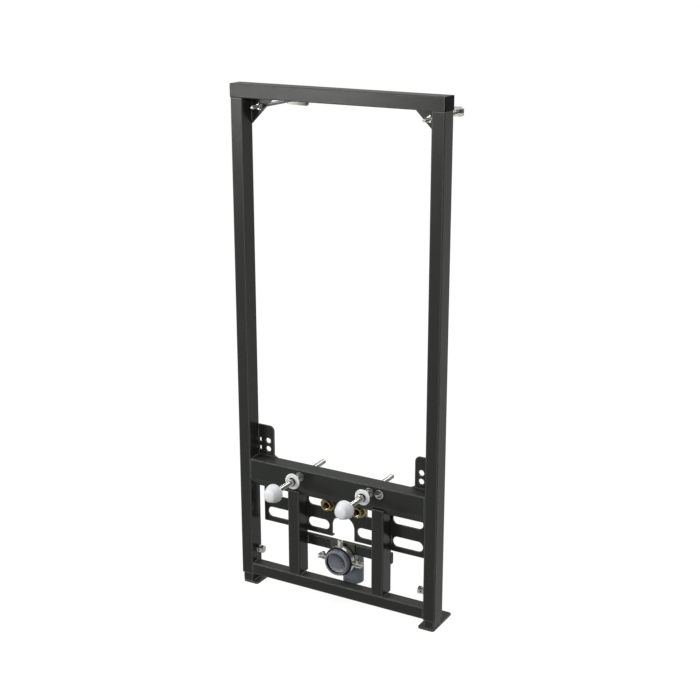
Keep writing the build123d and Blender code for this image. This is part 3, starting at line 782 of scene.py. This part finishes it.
# %% Socket screws of the drain clamp
head_height = 6 * millimetre
head_edge = 0.5 * millimetre
key_radius = 2.3 * millimetre
tip = 0.5 * millimetre
low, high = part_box("left_clamp_screw")
shank = high.z - low.z - head_height
screw = threaded_rod(radius=2.5 * millimetre, pitch=0.8 * millimetre, length=shank)
head = turned_disc(4.2 * millimetre, head_height, run=head_edge, rise=head_edge, ends=(1,))
key = begin(bpy.ops.mesh.primitive_cylinder_add, vertices=6, radius=key_radius, depth=head_height)
bpy.ops.transform.translate(value=(0, 0, head_height))
head = carve(head, close_up(key), "DIFFERENCE")
head.location.z = shank
nut = hexagon(flats=8 * millimetre, height=3 * millimetre)
nut.location.z = tip
screw = join(screw, head, nut)
for side, s in sides:
    low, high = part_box(f"{side}_clamp_screw")
    copy = copy_to(screw, ((low.x + high.x) / 2, (low.y + high.y) / 2, low.z))
    settle(copy, f"{side}_socket_screw", zinc, (f"{side}_clamp_screw",))
bpy.data.objects.remove(screw)

# %% [markdown]
# ## Threads inside the tap ports
# Each brass port has a half-inch pipe thread, 14 to the inch. It is the same winding turned inside out:
# the profile keeps its inner edge as the crest, so that a closed ridge winds along the bore, and its two
# ends are filled. The foot of the ridge bites a little into the wall of the bore.

# %% Pipe threads
port_radius = 9.3 * millimetre
port_depth = 10 * millimetre
port_pitch = 1.814 * millimetre
ridge = 1.1 * millimetre
ridge_foot = 0.9
bite = 0.2 * millimetre
lock_nut_half = 15 * millimetre
wall = port_radius + bite
thread = begin(bpy.ops.mesh.primitive_plane_add, size=port_pitch)
bpy.ops.transform.rotate(value=math.pi / 2, orient_axis="X", center_override=(0, 0, 0))
bpy.ops.transform.resize(value=(ridge / port_pitch, 1, ridge_foot), center_override=(0, 0, 0))
bpy.ops.transform.translate(value=(wall - ridge / 2, 0, port_pitch / 2))
pick(thread, lambda p: p.x < wall - (1 - edge_zone) * ridge, "EDGE")
bpy.ops.transform.resize(value=(1, 1, crest_share), center_override=(port_radius, 0, port_pitch / 2))
wind(thread, port_pitch, math.floor(port_depth / port_pitch) - 1)
bpy.ops.mesh.fill_holes(sides=4)
close_up(thread)
for side, s in sides:
    low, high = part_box(f"{side}_tap_elbow")
    port = ((low.x + high.x) / 2, low.y + port_depth, high.z - lock_nut_half)
    settle(copy_to(thread, port, to_front), f"{side}_port_thread", brass)
bpy.data.objects.remove(thread)

# %% [markdown]
# ## Plug in the spare insert
# The spare insert on the right is closed by a plated plug: a flange with a hollow face and a bar across
# it to turn it by. The flange is a turned disc whose face is inset and pushed in, and the bar is a
# bevelled block laid across the hollow. The floor of the hollow, the one face there that is larger than
# the bar's foot, takes the darker grey zinc as painted shade in the recess.

# %% Plug with its grip bar
low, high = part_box("right_spare_insert")
flange_depth = 3.5 * millimetre
flange_radius = (high.x - low.x) / 2
flange_round = 0.8 * millimetre
flange_lip = 1.6 * millimetre
barrel_radius = 8 * millimetre
hollow = 2.4 * millimetre
bar_size = (16.0 * millimetre, 4.2 * millimetre, 3.0 * millimetre)
bar_round = 0.6 * millimetre
bar_slant = math.radians(36.6)
plug = begin(
    bpy.ops.mesh.primitive_cylinder_add, vertices=turned_steps, radius=flange_radius, depth=flange_depth,
)
bpy.ops.transform.translate(value=(0, 0, flange_depth / 2))
pick(plug, lambda p: p.z > flange_depth - tiny)
bpy.ops.mesh.bevel(offset=flange_round, segments=3, affect="EDGES")
pick(plug, lambda p: p.z > flange_depth - tiny)
bpy.ops.mesh.inset(thickness=flange_lip)
bpy.ops.mesh.extrude_region_move(TRANSFORM_OT_translate={"value": (0, 0, -hollow)})
pick(plug, lambda p: p.z < tiny)
bpy.ops.mesh.inset(thickness=flange_radius - barrel_radius)
bpy.ops.mesh.extrude_region_move(TRANSFORM_OT_translate={"value": (0, 0, low.y + flange_depth - high.y)})
close_up(plug)
bar = begin(bpy.ops.mesh.primitive_cube_add, size=1.0)
bpy.ops.transform.resize(value=bar_size, center_override=(0, 0, 0))
bpy.ops.transform.translate(value=(0, 0, flange_depth - hollow + bar_size[2] / 2))
bpy.ops.mesh.bevel(offset=bar_round, segments=2, affect="EDGES")
close_up(bar)
bar.rotation_euler.z = bar_slant
plug = join(plug, bar)
plug.location = ((low.x + high.x) / 2, low.y + flange_depth, (low.z + high.z) / 2)
plug.rotation_euler = to_front
settle(plug, "right_spare_plug", zinc, ("right_spare_insert",))
# Painted shade: the hollow's floor gets the darker grey zinc.
plug.data.materials.append(grey_and_shaded_zinc)
for face in plug.data.polygons:
    in_shaded_floor = abs(face.center.y - low.y - hollow) < tiny
    if in_shaded_floor and face.area > bar_size[0] * bar_size[1]:
        face.material_index = 1

# %% [markdown]
# ## Caps on the rods
# Soft white caps keep the rods' ends from chipping the ceramic until it hangs there. Each is a blunt
# dome with a bore for the rod. Its half outline is drawn point by point and spun round the rod's axis,
# which is how a turned mould gives it its form, and one subdivision rounds it. A point of the outline is
# its way along the rod and its way out from the axis, in millimetres, from the end of the bore to the
# nose.

# %% White caps
bore_end_mm = 16.0
cap_outline_mm = (
    (bore_end_mm, 6.0), (0.3, 6.0), (0.0, 6.4), (0.0, 18.2), (0.5, 19.3), (1.8, 20.4), (3.8, 21.2),
    (6.0, 21.3), (8.3, 20.9), (12.9, 19.4), (17.4, 17.7), (21.6, 16.3), (24.6, 15.2), (26.9, 13.7),
    (28.5, 11.3), (29.5, 7.4), (29.9, 3.7), (30.0, 0.0),
)
cap_steps = 40
cap_overlap = 1 * millimetre
cap = begin(bpy.ops.mesh.primitive_plane_add, size=1 * millimetre)
bpy.ops.mesh.merge(type="CENTER")
bpy.ops.mesh.select_mode(type="VERT")
bpy.ops.mesh.select_all(action="SELECT")
along, out = bore_end_mm, 0.0
bpy.ops.transform.translate(value=(out * millimetre, 0, along * millimetre))
for next_along, next_out in cap_outline_mm:
    step = ((next_out - out) * millimetre, 0, (next_along - along) * millimetre)
    bpy.ops.mesh.extrude_region_move(TRANSFORM_OT_translate={"value": step})
    along, out = next_along, next_out
bpy.ops.mesh.select_all(action="SELECT")
bpy.ops.mesh.spin(steps=cap_steps, angle=2 * math.pi, center=(0, 0, 0), axis=(0, 0, 1))
close_up(cap)
rounding = cap.modifiers.new("rounding", "SUBSURF")
rounding.levels = rounding.render_levels = 1
bpy.ops.object.modifier_apply(modifier=rounding.name)
for side, s in sides:
    low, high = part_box(f"{side}_rod_cap")
    copy = copy_to(cap, ((low.x + high.x) / 2, high.y + cap_overlap, (low.z + high.z) / 2), to_front)
    settle(copy, f"{side}_domed_cap", white_plastic, (f"{side}_rod_cap",))
bpy.data.objects.remove(cap)

# %% [markdown]
# ## Welds
# Where tubes meet, a short run of weld fills the corner and the powder coat covers it. Each run is a
# slim rod with a ripple for every drop of metal: its long edges are subdivided, every second ring is
# drawn in, and its two ends are rounded off.

# %% One run of weld
weld_radius = 2.0 * millimetre
drop_length = 2.2 * millimetre
between_drops = 0.8
end_share = 0.4


def weld_run(length):
    """A run of weld along Z about the origin."""
    drops = max(3, round(length / drop_length))
    run = begin(bpy.ops.mesh.primitive_cylinder_add, vertices=10, radius=weld_radius, depth=length)
    pick(run, lambda p: abs(p.z) < tiny, "EDGE")
    bpy.ops.mesh.subdivide(number_cuts=2 * drops - 1)
    spacing = length / (2 * drops)
    pick(run, lambda p: round((p.z + length / 2) / spacing) % 2 == 0, "VERT")
    bpy.ops.transform.resize(value=(between_drops, between_drops, 1), center_override=(0, 0, 0))
    pick(run, lambda p: abs(p.z) > length / 2 - tiny, "VERT")
    bpy.ops.transform.resize(value=(end_share, end_share, 1), center_override=(0, 0, 0))
    return close_up(run)


print("a drop of weld is", drop_length, "m long")

# %% [markdown]
# ### Where the welds are
# The runs lie along the corners of the left half: its post, upright, gusset and ear. Each row gives the
# middle of a run, its length in millimetres and its direction. Every run is copied to both halves, and
# the copies become one piece on each body.

# %% Weld runs
inner, front, back = post_high.x, post_low.y, post_high.y
middle_y = (front + back) / 2
beam_low, beam_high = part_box("mounting_beam")
low_beam_low, low_beam_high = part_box("bottom_beam")
upright_low, upright_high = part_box("left_upright")
plate_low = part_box("connection_plate")[0]
bar_low, bar_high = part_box("drain_bar")
gusset_low, gusset_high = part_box("left_gusset")
ear_low, ear_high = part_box("left_ear")
low_beam_y = (low_beam_low.y + low_beam_high.y) / 2
up_gusset, along_gusset = 18 * millimetre, 40 * millimetre
below_ear_top = 22 * millimetre
up_plate = 26 * millimetre
behind_middle = 4 * millimetre
along_x, along_y, along_z = to_right, to_front, (0, 0, 0)
frame_runs = [
    (inner, middle_y, beam_high.z, 26, along_y),
    (inner, low_beam_y, low_beam_high.z, 20, along_y),
    (inner, middle_y, top_low.z, 26, along_y),
    (inner, gusset_low.y, gusset_low.z + up_gusset, 22, along_z),
    (inner + along_gusset, gusset_low.y, gusset_high.z, 22, along_x),
    (inner, ear_low.y, ear_high.z - below_ear_top, 20, along_z),
]
for x in (upright_low.x, upright_high.x):
    frame_runs += [
        (x, low_beam_y, low_beam_high.z, 20, along_y),
        (x, middle_y + behind_middle, beam_low.z, 22, along_y),
        (x, back, (bar_low.z + bar_high.z) / 2, 18, along_z),
        (x, back, plate_low.z + up_plate, 22, along_z),
    ]
foot_run = 24
shapes = {length: weld_run(length * millimetre) for length in (18, 20, 22, foot_run, 26)}
runs = []
for x, y, z, length, turn in frame_runs:
    for side, s in sides:
        runs.append(copy_to(shapes[length], (-s * x, y, z), turn))
settle(join(*runs), "weld_runs", coat)
for side, s in sides:
    low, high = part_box(f"{side}_foot")
    runs = [copy_to(shapes[foot_run], (x, middle_y, low.z), along_y) for x in (low.x, high.x)]
    settle(join(*runs), f"{side}_foot_weld", coat, body=f"{side}_foot")
for shape in shapes.values():
    bpy.data.objects.remove(shape)

# %% [markdown]
# ## Size and finish
# The detail must not make the object larger, so the box of the solids and the box of the dressed object
# are set side by side.

# %% Finish
size = {"cad": [list(cad_low), list(cad_high)], "visual": [list(corner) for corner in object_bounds()]}
print("visual box:", size["visual"])
